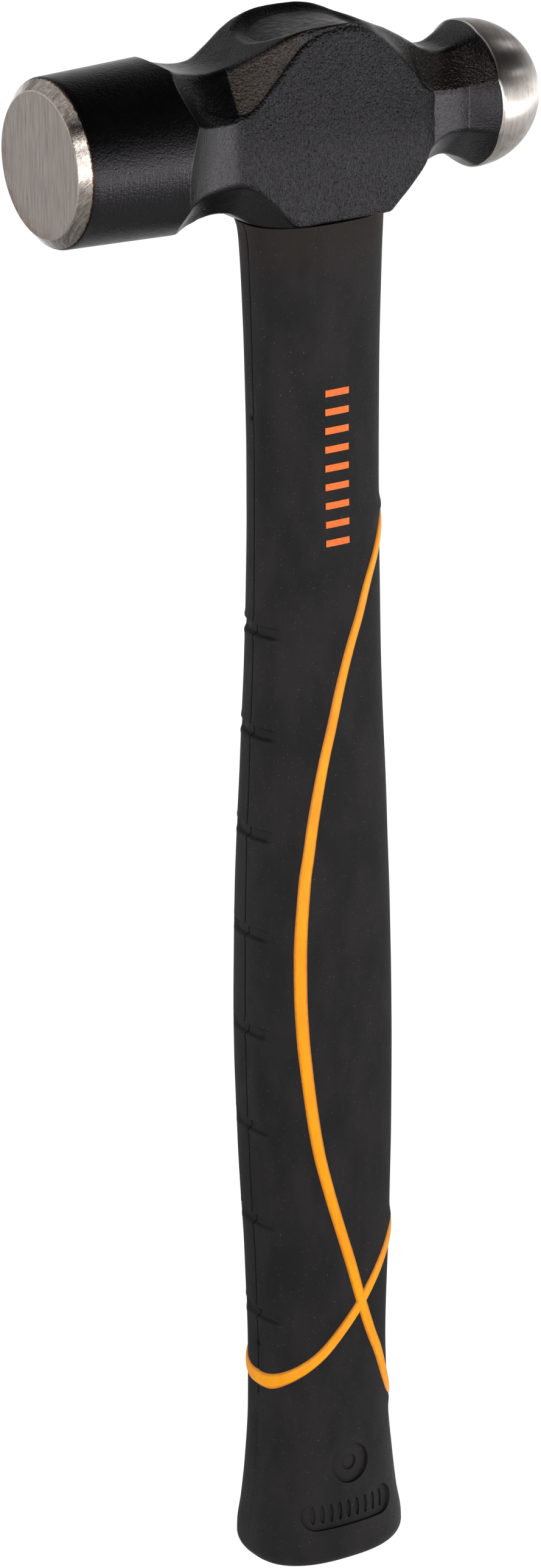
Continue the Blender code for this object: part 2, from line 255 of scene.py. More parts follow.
NECK_BULGE = line((-43, 0), (30, 0), (36, 0.35), (39.5, 0.75), (42, 1))  # 0 is flat, 1 is round
FACE_RADIUS = 18.0
POLL_RADIUS = line((FACE_X, FACE_RADIUS), (-38, 19.0), (-30, 19.35))
CHAMFER = 2.45
BALL_X, BALL_RADIUS = 39.4, 16.0
NECK_X = -33
POLL_SEARCH = np.linspace(-43, -34, 91)  # the round poll ends somewhere here
BALL_SEARCH = np.linspace(34, 42.5, 86)  # and the ball starts somewhere here
CORNER_ROUND = [1.3, 0.35, 0.45, 0.8, 1.0]  # at the five corners on one side, from the top down
CORNER_SIZES = CORNER_ROUND + CORNER_ROUND[::-1]
ARC_POINTS = 6
TOP_POINTS, BOTTOM_POINTS = 24, 20
EDGE_POINTS = [10, 1, 34, 9]  # on the edges between the corners on one side, from the top down
FACE_RINGS = 12
RIM_STEPS = np.array([-1.0, -0.6, -0.35, -0.18, -0.06, 0.06, 0.18, 0.35, 0.6, 1.0])


def corners(x):
    """The section's ten corners at x, from the top on the +Y side round to the top on the -Y."""
    step = BOSS_STEP(x)
    slope = (UPPER_Z(x + 0.05) - UPPER_Z(x - 0.05)) / 0.1
    wall = BOSS_WALL * np.sqrt(1 + np.minimum(slope**2, 4)) * np.minimum(step / 0.4, 1) + 0.35
    right = [
        (TOP_HALF(x), TOP(x)),
        (UPPER_HALF(x) - step - 0.05, UPPER_Z(x) + wall),
        (UPPER_HALF(x), UPPER_Z(x)),
        (LOWER_HALF(x), -LOWER_Z(x)),
        (BOTTOM_HALF(x), -BOTTOM(x)),
    ]
    return right + [(-y, z) for y, z in reversed(right)]


def column_plan():
    """(corner, kind, share) of each column: on a corner's arc, or on the edge after it."""
    plan = []
    edges = EDGE_POINTS + [BOTTOM_POINTS] + EDGE_POINTS[::-1] + [TOP_POINTS]
    for corner, count in enumerate(edges):
        plan += [(corner, "arc", k / ARC_POINTS) for k in range(ARC_POINTS + 1)]
        plan += [(corner, "edge", k / (count + 1)) for k in range(1, count + 1)]
    return plan


def column_point(column, x):
    """(y, z) of a column at each x, on the ten-sided section with rounded corners."""
    corner, kind, share = column
    found = [np.stack(c, -1) for c in corners(x)]

    def trimmed(k):
        """The corner, between the points where its rounding starts and ends."""
        k %= 10
        here, before, after = found[k], found[k - 1], found[(k + 1) % 10]
        back, on = before - here, after - here
        start = here + back / length(back) * np.minimum(CORNER_SIZES[k], 0.45 * length(back))
        end = here + on / length(on) * np.minimum(CORNER_SIZES[k], 0.45 * length(on))
        return start, here, end

    start, middle, end = trimmed(corner)
    if kind == "arc":
        point = (1 - share) ** 2 * start + 2 * share * (1 - share) * middle + share**2 * end
    else:
        following = trimmed(corner + 1)[0]
        point = end + share * (following - end)
    return point * (1 + NECK_BULGE(x)[..., None] * (length(found[0]) / length(point) - 1))


def meeting(column, x, radius):
    """Where along x a column first crosses a round part of the given radius."""
    value = np.linalg.norm(column_point(column, x), axis=-1) - radius(x)
    k = int(np.argmax(np.sign(value[1:]) != np.sign(value[:-1])))
    return x[k] + (x[k + 1] - x[k]) * value[k] / (value[k] - value[k + 1])


def soft_min(a, b, blend):
    """The lower of a and b, rounded over where they are closer than blend."""
    gap = np.maximum(blend - np.abs(a - b), 0) / blend
    return np.minimum(a, b) - gap**2 * blend / 4


def ball_radius(x):
    return np.sqrt(np.maximum(BALL_RADIUS**2 - np.maximum(x - BALL_X, 0) ** 2, 0.01))


def face_profile():
    """(radius, distance behind the face) from near the middle to the chamfer's outer edge."""
    flat, bevel = FACE_RADIUS - CHAMFER, 2.1
    profile = [(r, 0.0) for r in np.linspace(0.4, flat - 0.5, FACE_RINGS)]
    profile += [(flat - 0.3, 0.005), (flat - 0.12, 0.03), (flat, 0.1), (flat + 0.14, 0.22)]
    shares = (0.15, 0.35, 0.55, 0.75, 0.9, 0.97)
    profile += [(flat + 0.14 + s * bevel, 0.22 + s * bevel) for s in shares]
    return profile + [(FACE_RADIUS - 0.08, CHAMFER - 0.05), (FACE_RADIUS - 0.01, CHAMFER + 0.1)]


def head_columns():
    """Points of the head (columns, rings, 3), and the rings where its body starts and ends."""
    rows = []
    profile = face_profile()
    for column in column_plan():
        poll_end = meeting(column, POLL_SEARCH, POLL_RADIUS)
        ball_start = meeting(column, BALL_SEARCH, ball_radius)
        x = np.concatenate([
            np.linspace(FACE_X + CHAMFER + 0.4, poll_end - 1.6, 16),
            poll_end + RIM_STEPS,
            np.linspace(poll_end + 1.5, -33.2, 8),
            np.linspace(-32.6, 32.4, 118),
            np.linspace(32.8, ball_start - 1.25, 18),
            ball_start + RIM_STEPS[:6],
        ])
        point = column_point(column, x)
        far = np.linalg.norm(point, axis=-1)
        poll_side = x < NECK_X
        limit = np.where(poll_side, POLL_RADIUS(x), np.where(x < 30, 99, ball_radius(x)))
        trimmed = soft_min(far, limit, np.where(poll_side, 0.22, 0.1))
        ray = point / far[:, None]
        on_poll = x < poll_end - 1.3
        ray[on_poll] = ray[int(np.argmin(np.abs(x - poll_end)))]
        trimmed[on_poll] = POLL_RADIUS(x)[on_poll]
        body = np.column_stack([x, ray * trimmed[:, None]])
        face = np.array([(FACE_X + behind, *(ray[0] * r)) for r, behind in profile])
        first = math.asin(min(max((x[-1] - BALL_X) / BALL_RADIUS, -0.05), 0.3))
        turns = first + (math.radians(88.6) - first) * np.linspace(0, 1, 44)[1:]
        tip = np.column_stack([
            BALL_X + BALL_RADIUS * np.sin(turns),
            ray[-1] * BALL_RADIUS * np.cos(turns)[:, None],
        ])
        rows.append(np.concatenate([face, body, tip]))
    return np.array(rows), (len(face), len(face) + len(x) - 1)


EYE_X = -0.9
EYE_DEPTH, EYE_HALF = 14.9, 10.3
EYE_POWER = 2.25
# depth below the top and how far outside the eye's outline, from the bottom up: the eye's wall as
# far as its rounded rim, and the epoxy's side
EYE_WALL = (
    (14, -1.8), (6, -1.0), (2.7, -0.62), (2.25, -0.8), (1.95, -1.6), (1.76, -2.0), (1.68, -1.9),
    (1.54, -1.45), (1.35, -1.05), (1.12, -0.65), (0.87, -0.25), (0.64, 0.1), (0.43, 0.45),
    (0.25, 0.8), (0.12, 1.15), (0.03, 1.5), (-0.02, 1.8), (-0.6, 2.4),
)
RESIN_SIDE = ((14, -2.1), (6, -1.2), (2.7, -0.95), (2.3, -1.25), (2.0, -1.85), (1.8, -2.1))
RESIN_EDGE = -1.86
RESIN_RIM, RESIN_DISH = 1.65, 0.26  # its top's depth at the rim, and how much deeper in the middle
CORE_POWER = 0.8
CORE_GAP = 0.3


def eye_outline(grow):
    turn = 2 * np.pi * np.arange(96) / 96
    x, y = superellipse(turn, 2 / EYE_POWER, EYE_DEPTH + grow, EYE_HALF + grow)
    return EYE_X + x, y


def below_top(wall):
    """Rings at depths below the head's top, for a wall of (depth, grow) pairs."""
    outlines = [(depth, eye_outline(grow)) for depth, grow in wall]
    return [ring_at(outline, HEAD_Z + TOP(outline[0]) - depth) for depth, outline in outlines]


def make_head(materials):
    """The forging as one mesh: face, chamfer, lacquered body and bare ball, with its eye.

    Its body has low forging waves, and turned ripples where the neck meets the ball.
    """
    columns, (face_rings, body_end) = head_columns()
    count, rings = columns.shape[:2]
    body = columns[:, face_rings:body_end]
    x = body[..., 0].copy()
    away = body * (0, 1, 1)
    away /= length(away)
    swell = (0.07 * bumps(body, 7.0, 1) + 0.035 * bumps(body, 2.4, 2)) * window(x, -37, 37.5, 2)
    side = window(body[..., 2], -4.5, 4.0, 0.8) * window(x, 34.2, 38.4, 0.9)
    ripple = 0.075 * np.sin(2 * np.pi * (x + 0.12 * bumps(body, 3, 5)) / 0.95) * side
    body += away * ((swell + ripple) * window(x, -60, 37.5, 3))[..., None]

    points = columns.transpose(1, 0, 2).reshape(-1, 3)
    points = np.concatenate([points, [[FACE_X, 0, 0], [BALL_X + BALL_RADIUS, 0, 0]]])
    points[:, 2] += HEAD_Z
    faces = quads(rings, count)
    lacquer, flat, bevel, ball = range(4)
    index = np.full(rings - 1, lacquer)
    index[:face_rings - 1] = bevel
    index[:FACE_RINGS + 1] = flat
    index[body_end - 3:] = ball
    low, high = rings * count, rings * count + 1
    for k in range(count):
        after = (k + 1) % count
        faces.append((low, after, k))
        faces.append((high, (rings - 1) * count + k, (rings - 1) * count + after))
    index = [*np.repeat(index, count), *[flat, ball] * count]
    head = new_object("head_forging", points, faces, materials, index)
    face_outward(head)
    under, over = ring_at(eye_outline(-1.4), HEAD_Z - 22), ring_at(eye_outline(2.4), HEAD_Z + 26)
    cut(head, loft("eye_tool", [under, *below_top(EYE_WALL), over]))
    return head


def core_outline(turn):
    """The outline of the hole for the core."""
    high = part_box("core_rod")[1]
    return superellipse(turn, CORE_POWER, high.x / MM + CORE_GAP, high.y / MM + CORE_GAP)


def make_filler(material):
    """The plastic in the eye: a thimble whose top is dished and closes over the core."""
    rings = [ring_at(eye_outline(-2.0), HEAD_Z - depth) for depth in (18.9, 10.9)]
    rings += below_top(RESIN_SIDE)
    edge_x, edge_y = eye_outline(RESIN_EDGE)
    for share in (1.0, 0.97, 0.93, 0.87, 0.79, 0.69, 0.57, 0.43, 0.28, 0.12):
        x = EYE_X + (edge_x - EYE_X) * share
        depth = RESIN_RIM + RESIN_DISH * (1 - share**3)
        rings.append(ring_at((x, edge_y * share), HEAD_Z + TOP(x) - depth))
    filler = loft("eye_resin", rings, [material])
    hole = core_outline(2 * np.pi * np.arange(48) / 48)
    ends = (HEAD_Z - 30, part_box("core_rod")[1].z / MM + CORE_GAP)
    cut(filler, loft("bore_tool", [ring_at(hole, z) for z in ends]))
    return filler


# ---------------------------------------------------------------- handle outlines

FRONT = line(
    (0, 19.3), (6, 19.2), (13, 18.2), (22, 17.2), (35, 16.4), (50, 16.1), (75, 16.7), (100, 17.9),
    (130, 18.6), (160, 18.2), (190, 16.9), (215, 15.7), (235, 15.1), (260, 14.8), (290, 15.2),
    (307, 15.8), (311, 16.2), (314, 17.3),
)
BACK = line(
    (0, 18.9), (6, 18.8), (13, 17.7), (22, 16.7), (35, 15.6), (53, 15.0), (80, 15.9), (130, 16.5),
    (175, 16.05), (215, 15.1), (240, 15.0), (280, 15.2), (304, 15.7), (314, 16.1),
)
HALF = line(
    (0, 14.4), (6, 14.3), (13, 13.6), (22, 12.9), (35, 12.4), (50, 12.5), (75, 13.1), (100, 13.9),
    (125, 14.1), (150, 13.6), (190, 11.7), (215, 10.7), (240, 10.0), (260, 9.8), (285, 10.2),
    (314, 11.4),
)
SECTION_POWER = 2.5
BUTT_EDGE = 4.5
HANDLE_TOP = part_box("front_grip")[1].z / MM - 0.55
GRIP_DEPTH = 2.0
LOOP = line(
    (30, 20.5), (32, 18.0), (39, 13.1), (44.5, 10.7), (49.9, 8.7), (55.1, 6.4), (63, 3.6),
    (74.3, 0.2), (83.6, -2.8), (92.9, -5.6), (102.3, -7.9), (111.8, -9.4), (121.2, -10.5),
    (130.5, -11.3), (139.7, -11.6), (148.7, -11.5), (166.5, -10.1), (172.3, -9.1), (178.8, -8.0),
    (186.5, -6.4), (193.7, -4.7), (201.3, -2.5), (209.6, -0.2), (218.3, 2.7), (224.6, 5.3),
    (231.7, 8.0), (238, 11.2), (246, 15.2), (250, 18.0), (253, 20.5),
)
LOOP_HALF = line((30, 1.35), (45, 1.45), (150, 1.47), (190, 1.4), (225, 1.25), (253, 1.15))
RING = line(
    (-22, 43.4), (-18, 44.0), (-16.3, 44.8), (-15.6, 45.6), (-13.9, 47.1), (-10.7, 49.5),
    (-6.9, 52.5), (-2.6, 56.8), (1.9, 61.8), (6, 67.1), (10, 72.6), (14.3, 78.4), (18, 83.6),
    (22, 89.5),
)
RING_HALF = line((-22, 1.5), (-10, 1.45), (22, 1.4))
GROOVES = [61.3 + 23.05 * k for k in range(8)]
GROOVE_HALF, GROOVE_SOFT, GROOVE_REACH = 1.15, 0.38, 7.5
GROOVE_STEPS = (-0.8, -0.55, -0.35, -0.2, -0.05, 0.1, 0.25, 0.4, 0.6, 0.9)  # rows near its walls
PIT_Y, PIT_Z = 0.85, 269.7
WEDGE_LOW, WEDGE_HIGH = 53.0, 55.2
DASH_LOW, DASH_HIGH = 41.2, 42.4
SWELLS = ((247.0, 1.9, 0.5), (80.2, 1.9, 0.4), (35.6, 2.2, 0.35))  # height, width and rise
FINE_SPANS = ((40.2, 43.2), (52.4, 55.6), (268.2, 271.2), (246.5, 254))  # heights with close rows


def surface(z, turn, inset=0.0):
    """x and y of the handle's section at height z. turn 0 is the back, at +X."""
    depth = np.where(np.cos(turn) > 0, BACK(z), FRONT(z)) - inset
    return superellipse(turn, 2 / SECTION_POWER, depth, HALF(z) - inset)


def handle_turns():
    """The columns round the handle, closest together at the parting lines."""
    near = [(y / 12.0) ** (SECTION_POWER / 2) for y in (0.07, 0.16, 0.3, 0.5, 0.75, 1.1, 1.5)]
    quarter = near + list(np.linspace(near[-1] + 0.035, math.pi / 2, 36))[:-1]
    half = [0.0] + quarter + [math.pi / 2] + [math.pi - t for t in reversed(quarter)] + [math.pi]
    return np.array(half + [2 * math.pi - t for t in reversed(half[1:-1])])


def handle_heights():
    """Heights of the rows up the handle, closer together at the grooves and small marks."""
    marks = list(np.arange(BUTT_EDGE, HANDLE_TOP, 1.1)) + [HANDLE_TOP]
    for middle in GROOVES:
        marks = [z for z in marks if abs(z - middle) > 2.2]
        marks += [middle + side * (GROOVE_HALF + d) for side in (-1, 1) for d in GROOVE_STEPS]
        marks.append(middle)
    for low, high in FINE_SPANS:
        marks = [z for z in marks if not low < z < high] + list(np.arange(low, high, 0.25))
    marks = sorted(marks)
    return np.array([z for k, z in enumerate(marks) if k == 0 or z - marks[k - 1] > 0.03])


def gradient_normal(points):
    """Unit normals of a (rows, columns, 3) grid that closes round its columns."""
    along = np.gradient(points, axis=0)
    around = np.roll(points, -1, 1) - np.roll(points, 1, 1)
    normal = np.cross(around, along)
    return normal / np.maximum(length(normal), 1e-9)


def side_distance(path, x, z):
    """Signed distance in the side view from a path of (x, z) points, positive to its left."""
    best = np.full(x.shape, 1e9)
    signed = np.zeros(x.shape)
    for k in range(len(path) - 1):
        (ax, az), (bx, bz) = path[k], path[k + 1]
        dx, dz = bx - ax, bz - az
        t = np.clip(((x - ax) * dx + (z - az) * dz) / math.hypot(dx, dz) ** 2, 0, 1)
        far = np.hypot(x - ax - t * dx, z - az - t * dz)
        side = dx * (z - az) - dz * (x - ax)
        closer = far < best
        best = np.where(closer, far, best)
        signed = np.where(closer, np.sign(side) * far, signed)
    return signed


LOOP_PATH = [(float(LOOP(z)), float(z)) for z in np.linspace(30, 253, 140)]
RING_PATH = [(float(x), float(RING(x))) for x in np.linspace(-22, 22, 50)]


def handle_grid():
    """The handle's outer and inner surfaces as (rows, columns, 3) grids, from the butt up."""
    turns = handle_turns()
    outer, inner = [], []
    for share in (0.02, 0.15, 0.3, 0.45, 0.6, 0.75, 0.88, 0.96):
        x, y = surface(0.0, turns, BUTT_EDGE)
        outer.append(ring_at((x * share, y * share), 0.0))
        x, y = surface(GRIP_DEPTH, turns, BUTT_EDGE + 0.5)
        inner.append(ring_at((x * share, y * share), GRIP_DEPTH))
    for angle in np.radians(np.linspace(0, 86, 12)):
        for rows, depth in ((outer, 0.0), (inner, GRIP_DEPTH)):
            radius = BUTT_EDGE - depth
            z = depth + radius * (1 - math.cos(angle))
            rows.append(ring_at(surface(z, turns, depth + radius * (1 - math.sin(angle))), z))
    for z in handle_heights():
        outer.append(ring_at(surface(z, turns), z))
        inner.append(ring_at(surface(z, turns, GRIP_DEPTH), z))
    outer, inner = np.array(outer), np.array(inner)
    return outer + gradient_normal(outer) * handle_lift(outer)[..., None], inner


def handle_lift(outer):
    """How far the handle's surface stands out at each point: waves, grooves and small marks."""
    x, y, z = outer[..., 0], outer[..., 1], outer[..., 2]
    front = x < 0
    side = np.abs(y)
    lift = 0.05 * bumps(outer, 14.0, 3) * fade(z, 3, 12)
    for middle in GROOVES:
        off = np.abs(z - middle)
        reach = side / (GROOVE_REACH - 0.5 * ((middle - GROOVES[0]) / 161))
        wall = fade(off, GROOVE_HALF - GROOVE_SOFT, GROOVE_HALF + GROOVE_SOFT)
        lip = 0.16 * bell(off, GROOVE_HALF + 0.7, 0.6) * (1 - fade(reach, 0.7, 1.1))
        lift += front * (lip - (1 - wall) * (1 - fade(reach, 0.72, 1.06)))
    lift -= 0.28 * bell(y, 0, 0.15) * window(z, 7, 312, 2) * (0.25 + 0.75 * fade(z, 42, 46))
    wedge = fade(0.8 * (WEDGE_HIGH - z) / (WEDGE_HIGH - WEDGE_LOW) - side + 0.1, 0, 0.12)
    lift -= 0.5 * front * bell(y, PIT_Y, 0.5) * bell(z, PIT_Z, 0.8)
    lift -= 0.5 * front * wedge * window(z, WEDGE_LOW, WEDGE_HIGH, 0.15)
    lift -= 0.35 * front * bell(y, 0, 0.16) * window(z, DASH_LOW, DASH_HIGH, 0.3)
    for middle, width, rise in SWELLS:
        lift += rise * fade(x, 11, 14.5) * bell(z, middle, width)
    return lift


def clip(points, faces, values):
    """Keeps the part of a polygon mesh where values, one for each point, are above 0."""
    points, values = list(points), list(values)
    made, kept = {}, []

    def between(a, b):
        key = (min(a, b), max(a, b))
        if key not in made:
            t = values[a] / (values[a] - values[b])
            t = min(max(t, 0.02), 0.98)
            points.append(points[a] + t * (points[b] - points[a]))
            values.append(0.0)
            made[key] = len(points) - 1
        return made[key]

    for face in faces:
        signs = [values[k] > 0 for k in face]
        if all(signs):
            kept.append(face)
            continue
        if not any(signs):
            continue
        ring = []
        for k, a in enumerate(face):
            b = face[(k + 1) % len(face)]
            if values[a] > 0:
                ring.append(a)
            if (values[a] > 0) != (values[b] > 0):
                ring.append(between(a, b))
        if len(ring) > 2:
            kept.append(tuple(ring))
    return np.array(points), kept


def shell(name, points, faces, material):
    """A closed piece from faces whose points hold an outer and an inner place."""
    used = sorted({k for face in faces for k in face})
    number = {k: i for i, k in enumerate(used)}
    count = len(used)
    both = np.concatenate([points[used, :3], points[used, 3:]])
    outer = [tuple(number[k] for k in face) for face in faces]
    edges = {}
    for face in outer:
        for k, a in enumerate(face):
            edges[(a, face[(k + 1) % len(face)])] = True
    walls = [(b, a, a + count, b + count) for a, b in edges if (b, a) not in edges]
    inner = [tuple(k + count for k in reversed(face)) for face in outer]
    made = new_object(name, both, outer + inner + walls, [material])
    crease(made, 50)
    return made


def make_grips(material):
    """The four pieces of soft grip, as closed shells whose edges lie under the bands."""
    outer, inner = handle_grid()
    rows, columns = outer.shape[:2]
    points = np.concatenate([outer.reshape(-1, 3), inner.reshape(-1, 3)], 1)
    faces = [tuple(range(columns))[::-1]] + quads(rows, columns)
    tuck = 0.4
    pieces = {}
    for name, loop_side, ring_side in (
        ("front_grip", 1, 1), ("back_grip", -1, 1), ("heel_grip", -1, -1), ("butt_grip", 1, -1),
    ):
        kept, left = points, faces
        for path, side, widths, which in (
            (LOOP_PATH, loop_side, LOOP_HALF, 2), (RING_PATH, ring_side, RING_HALF, 0),
        ):
            far = side_distance(path, kept[:, 0], kept[:, 2]) * side
            kept, left = clip(kept, left, far - (widths(kept[:, which]) - tuck))
        pieces[name] = shell(name + "_rubber", kept, left, material)
        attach(pieces[name], "root")
        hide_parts(name)
    return pieces


def depth_at(x, z):
    """The handle's depth at z, to the front or the back as x is."""
    return np.where(x > 0, BACK(z), FRONT(z))


def on_handle(x, z):
    """How far out in Y the handle's surface is at a point of the side view."""
    left = np.maximum(1 - np.abs(x / depth_at(x, z)) ** SECTION_POWER, 0)
    return HALF(z) * left ** (1 / SECTION_POWER)


def surface_normal(points):
    """The handle's outward normal at points on it."""
    x, y, z = points[..., 0], points[..., 1], points[..., 2]

    def level(x, y, z):
        return np.abs(x / depth_at(x, z)) ** SECTION_POWER + np.abs(y / HALF(z)) ** SECTION_POWER

    step = 0.02
    found = np.stack([
        level(x + step, y, z) - level(x - step, y, z),
        level(x, y + step, z) - level(x, y - step, z),
        level(x, y, z + step) - level(x, y, z - step),
    ], -1)
    return found / np.maximum(length(found), 1e-12)


def band_line(path, count):
    """A path in the side view carried onto the handle's +Y side, at even spacing."""
    path = np.array(path)
    fine = np.linspace(0, len(path) - 1, 4000)
    x = np.interp(fine, np.arange(len(path)), path[:, 0])
    z = np.interp(fine, np.arange(len(path)), path[:, 1])
    flat = np.column_stack([x, z])
    past = np.abs(x) - depth_at(x, z)
    first, last = np.flatnonzero(past < 0)[[0, -1]]
    ends = []
    for inside, outside in ((first, first - 1), (last, last + 1)):
        t = past[inside] / (past[inside] - past[outside])
        ends.append(flat[inside] + t * (flat[outside] - flat[inside]))
    close = np.linspace(0, 1, 60)[:, None] ** 3
    middle = flat[first:last + 1]
    head = ends[0] + (middle[0] - ends[0]) * close
    tail = ends[1] + (middle[-1] - ends[1]) * close[::-1]
    flat = np.concatenate([head, middle, tail])
    y = on_handle(flat[:, 0], flat[:, 1])
    y[0] = y[-1] = 0
    points = np.column_stack([flat[:, 0], y, flat[:, 1]])
    walked = np.concatenate([[0], np.cumsum(np.linalg.norm(np.diff(points, axis=0), axis=1))])
    even = np.linspace(0, walked[-1], count)
    return np.column_stack([np.interp(even, walked, points[:, k]) for k in range(3)])


def make_band(name, path, widths, which, count, material):
    """A crowned rib that follows a path of the side view round the whole handle."""
    path = np.array(path)
    step = np.gradient(path, axis=0)
    step /= length(step)
    across = np.column_stack([-step[:, 1], step[:, 0]])
    half = widths(path[:, 1] if which == 2 else path[:, 0])
    crown = np.sin(np.radians(np.linspace(-90, 90, 17)))
    profile = [(b, -0.3 + 0.82 * (1 - b * b) ** 0.55) for b in crown]
    profile += [(0.9, -1.4), (0.45, -1.5), (0, -1.5), (-0.45, -1.5), (-0.9, -1.4)]
    rows = []
    for b, height in profile:
        near = band_line(path + across * (half * b)[:, None], count)
        ring = np.concatenate([near, (near * (1, -1, 1))[-2:0:-1]])
        rows.append(ring + surface_normal(ring) * height)
    stations = len(ring)
    faces = []
    for i in range(len(profile)):
        a, b = i * stations, (i + 1) % len(profile) * stations
        for k in range(stations):
            after = (k + 1) % stations
            faces.append((a + k, b + k, b + after, a + after))
    made = new_object(name, np.concatenate(rows), faces, [material])
    # edge: how far across the band a point lies, 0 in the middle and 1 at its edges, which the
    # orange paint uses for painted shade
    edge = made.data.attributes.new("edge", "FLOAT", "POINT")
    edge.data.foreach_set("value", np.repeat([abs(b) for b, height in profile], stations))
    face_outward(made)
    crease(made, 50)
    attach(made, "root")


def stadium(x, z, half_length, radius, straight=14, bend=18):
    """Outline of a bar with round ends in the side view."""
    turn = np.radians(np.linspace(-90, 90, bend))
    reach = half_length - radius
    end_x, end_z = reach + radius * np.cos(turn), radius * np.sin(turn)
    across = np.linspace(1, -1, straight)[1:-1] * reach
    level = np.full_like(across, radius)
    along = np.concatenate([end_x, across, -end_x, -across])
    return np.column_stack([x + along, z + np.concatenate([end_z, level, -end_z, -level])])


def oblong(x, z, half_length, half_height):
    """Outline of a bar with square ends in the side view."""
    along = np.linspace(-half_length, half_length, 7)
    level = np.full_like(along, half_height)
    along, level = np.concatenate([along, -along]), np.concatenate([-level, level])
    return np.column_stack([x + along, z + level])


def plates(name, outlines, low, high, materials=()):
    """Plates on both sides that follow the handle's surface, from low to high above it."""
    shares = (0.1, 0.4, 0.7, 1.0)
    layers = [(low, share) for share in shares] + [(high, share) for share in reversed(shares)]
    points, faces = [], []
    for outline in outlines:
        middle, count = outline.mean(axis=0), len(outline)
        for side in (1, -1):
            first = len(points)
            for height, share in layers:
                x, z = (middle + (outline - middle) * share).T
                ring = np.column_stack([x, on_handle(x, z), z])
                points.extend((ring + surface_normal(ring) * height) * (1, side, 1))
            faces += quads(len(layers), count, first)
            faces.append(tuple(range(first + count - 1, first - 1, -1)))
            faces.append(tuple(range(len(points) - count, len(points))))
    made = new_object(name, points, faces, materials)
    face_outward(made)
    crease(made, 40)
    return made


def press(target, outlines, depth):
    """Sinks shapes of the side view into both sides of a grip piece."""
    cut(target, plates("press_tool", outlines, -depth, 1.5))


DOT_X, DOT_Z = 0.2, 24.5
BAR_X, BAR_Z = -0.4, 13.3


def make_marks(grip, ink):
    """Plain marks: a dotted roundel and a ribbed bar in the butt, and a row of bars on the side."""
    roundel = stadium(DOT_X, DOT_Z, 4.8, 4.8, straight=2, bend=32)
    press(grip, [roundel, stadium(BAR_X, BAR_Z, 12.0, 3.5)], depth=0.85)
    dot = stadium(DOT_X, DOT_Z, 1.9, 1.9, straight=2)
    ribs = [stadium(BAR_X + 2.3 * step, BAR_Z, 0.6, 0.6, straight=2) for step in range(-4, 5)]
    ribs = [(rib - rib.mean(axis=0)) * (1, 3.6) + rib.mean(axis=0) for rib in ribs]
    press(grip, ribs + [dot], depth=1.3)
    crease(grip, 40)
    bars = [oblong(0, 242.3 + 4.2 * step, 2.95, 0.75) for step in range(9)]
    bars = plates("side_bars", bars, low=-0.3, high=0.1, materials=[ink])
    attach(bars, "root")


def make_jacket(material):
    """The hard jacket between core and grip, open at the top for the core."""
    turn = 2 * np.pi * (np.arange(64) + 0.5) / 64
    rings = []
    for z in np.concatenate([[2.4, 3.0, 4.2], np.linspace(6, HANDLE_TOP, 48)]):
        rings.append(ring_at(surface(z, turn, GRIP_DEPTH + 0.3 + max(0, 4.4 - z) * 0.9), z))
    hole = core_outline(turn)
    rings += [ring_at(hole, z) for z in (HANDLE_TOP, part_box("core_rod")[0].z / MM - CORE_GAP)]
    jacket = loft("jacket_body", rings, [material])
    crease(jacket, 50)
    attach(jacket, "root")
    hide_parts("handle_jacket")


# ---------------------------------------------------------------- materials

class Tree:
    """Shorthand for building a node tree. A value is a number, a tuple or another node's output."""

    def __init__(self, owner):
        owner.use_nodes = True
        self.nodes = owner.node_tree.nodes
        self.links = owner.node_tree.links

    def feed(self, socket, value):
        if isinstance(value, bpy.types.NodeSocket):
            self.links.new(value, socket)
        else:
            socket.default_value = value

    def node(self, kind, *values, sockets=None, **settings):
        """A new node. values go to its first sockets in order, and sockets names others."""
        made = self.nodes.new("ShaderNode" + kind)
        for name, setting in settings.items():
            setattr(made, name, setting)
        for socket, value in zip(made.inputs, values):
            self.feed(socket, value)
        for name, value in (sockets or {}).items():
            self.feed(made.inputs[name], value)
        return made

    def math(self, operation, *values):
        return self.node("Math", *values, operation=operation).outputs[0]

    def times(self, *values):
        return functools.reduce(lambda a, b: self.math("MULTIPLY", a, b), values)

    def plus(self, *values):
        return functools.reduce(lambda a, b: self.math("ADD", a, b), values)

    def most(self, *values):
        return functools.reduce(lambda a, b: self.math("MAXIMUM", a, b), values)

    def absolute(self, value):
        return self.math("ABSOLUTE", value)

    def vector(self, operation, first, second):
        return self.node("VectorMath", first, second, operation=operation).outputs["Vector"]

    def dot(self, first, second):
        return self.node("VectorMath", first, second, operation="DOT_PRODUCT").outputs["Value"]

    def length(self, place):
        return self.math("SQRT", self.dot(place, place))

    def split(self, place):
        return self.node("SeparateXYZ", place).outputs

    def join(self, x, y, z):
        return self.node("CombineXYZ", x, y, z).outputs[0]

    def rise(self, value, low, high, start=0.0, end=1.0):
        """start at low, end at high, smooth between. With low above high it falls to low."""
        if low > high:
            low, high, start, end = high, low, end, start
        values = (value, low, high, start, end)
        return self.node("MapRange", *values, interpolation_type="SMOOTHSTEP").outputs[0]

    def coats(self, colour, *coats):
        """A colour under coats of others, each given as (share, colour)."""
        colour = (*colour, 1)
        for share, over in coats:
            made = self.node("Mix", share, data_type="RGBA")
            self.feed(made.inputs[6], colour)
            self.feed(made.inputs[7], (*over, 1))
            colour = made.outputs[2]
        return colour


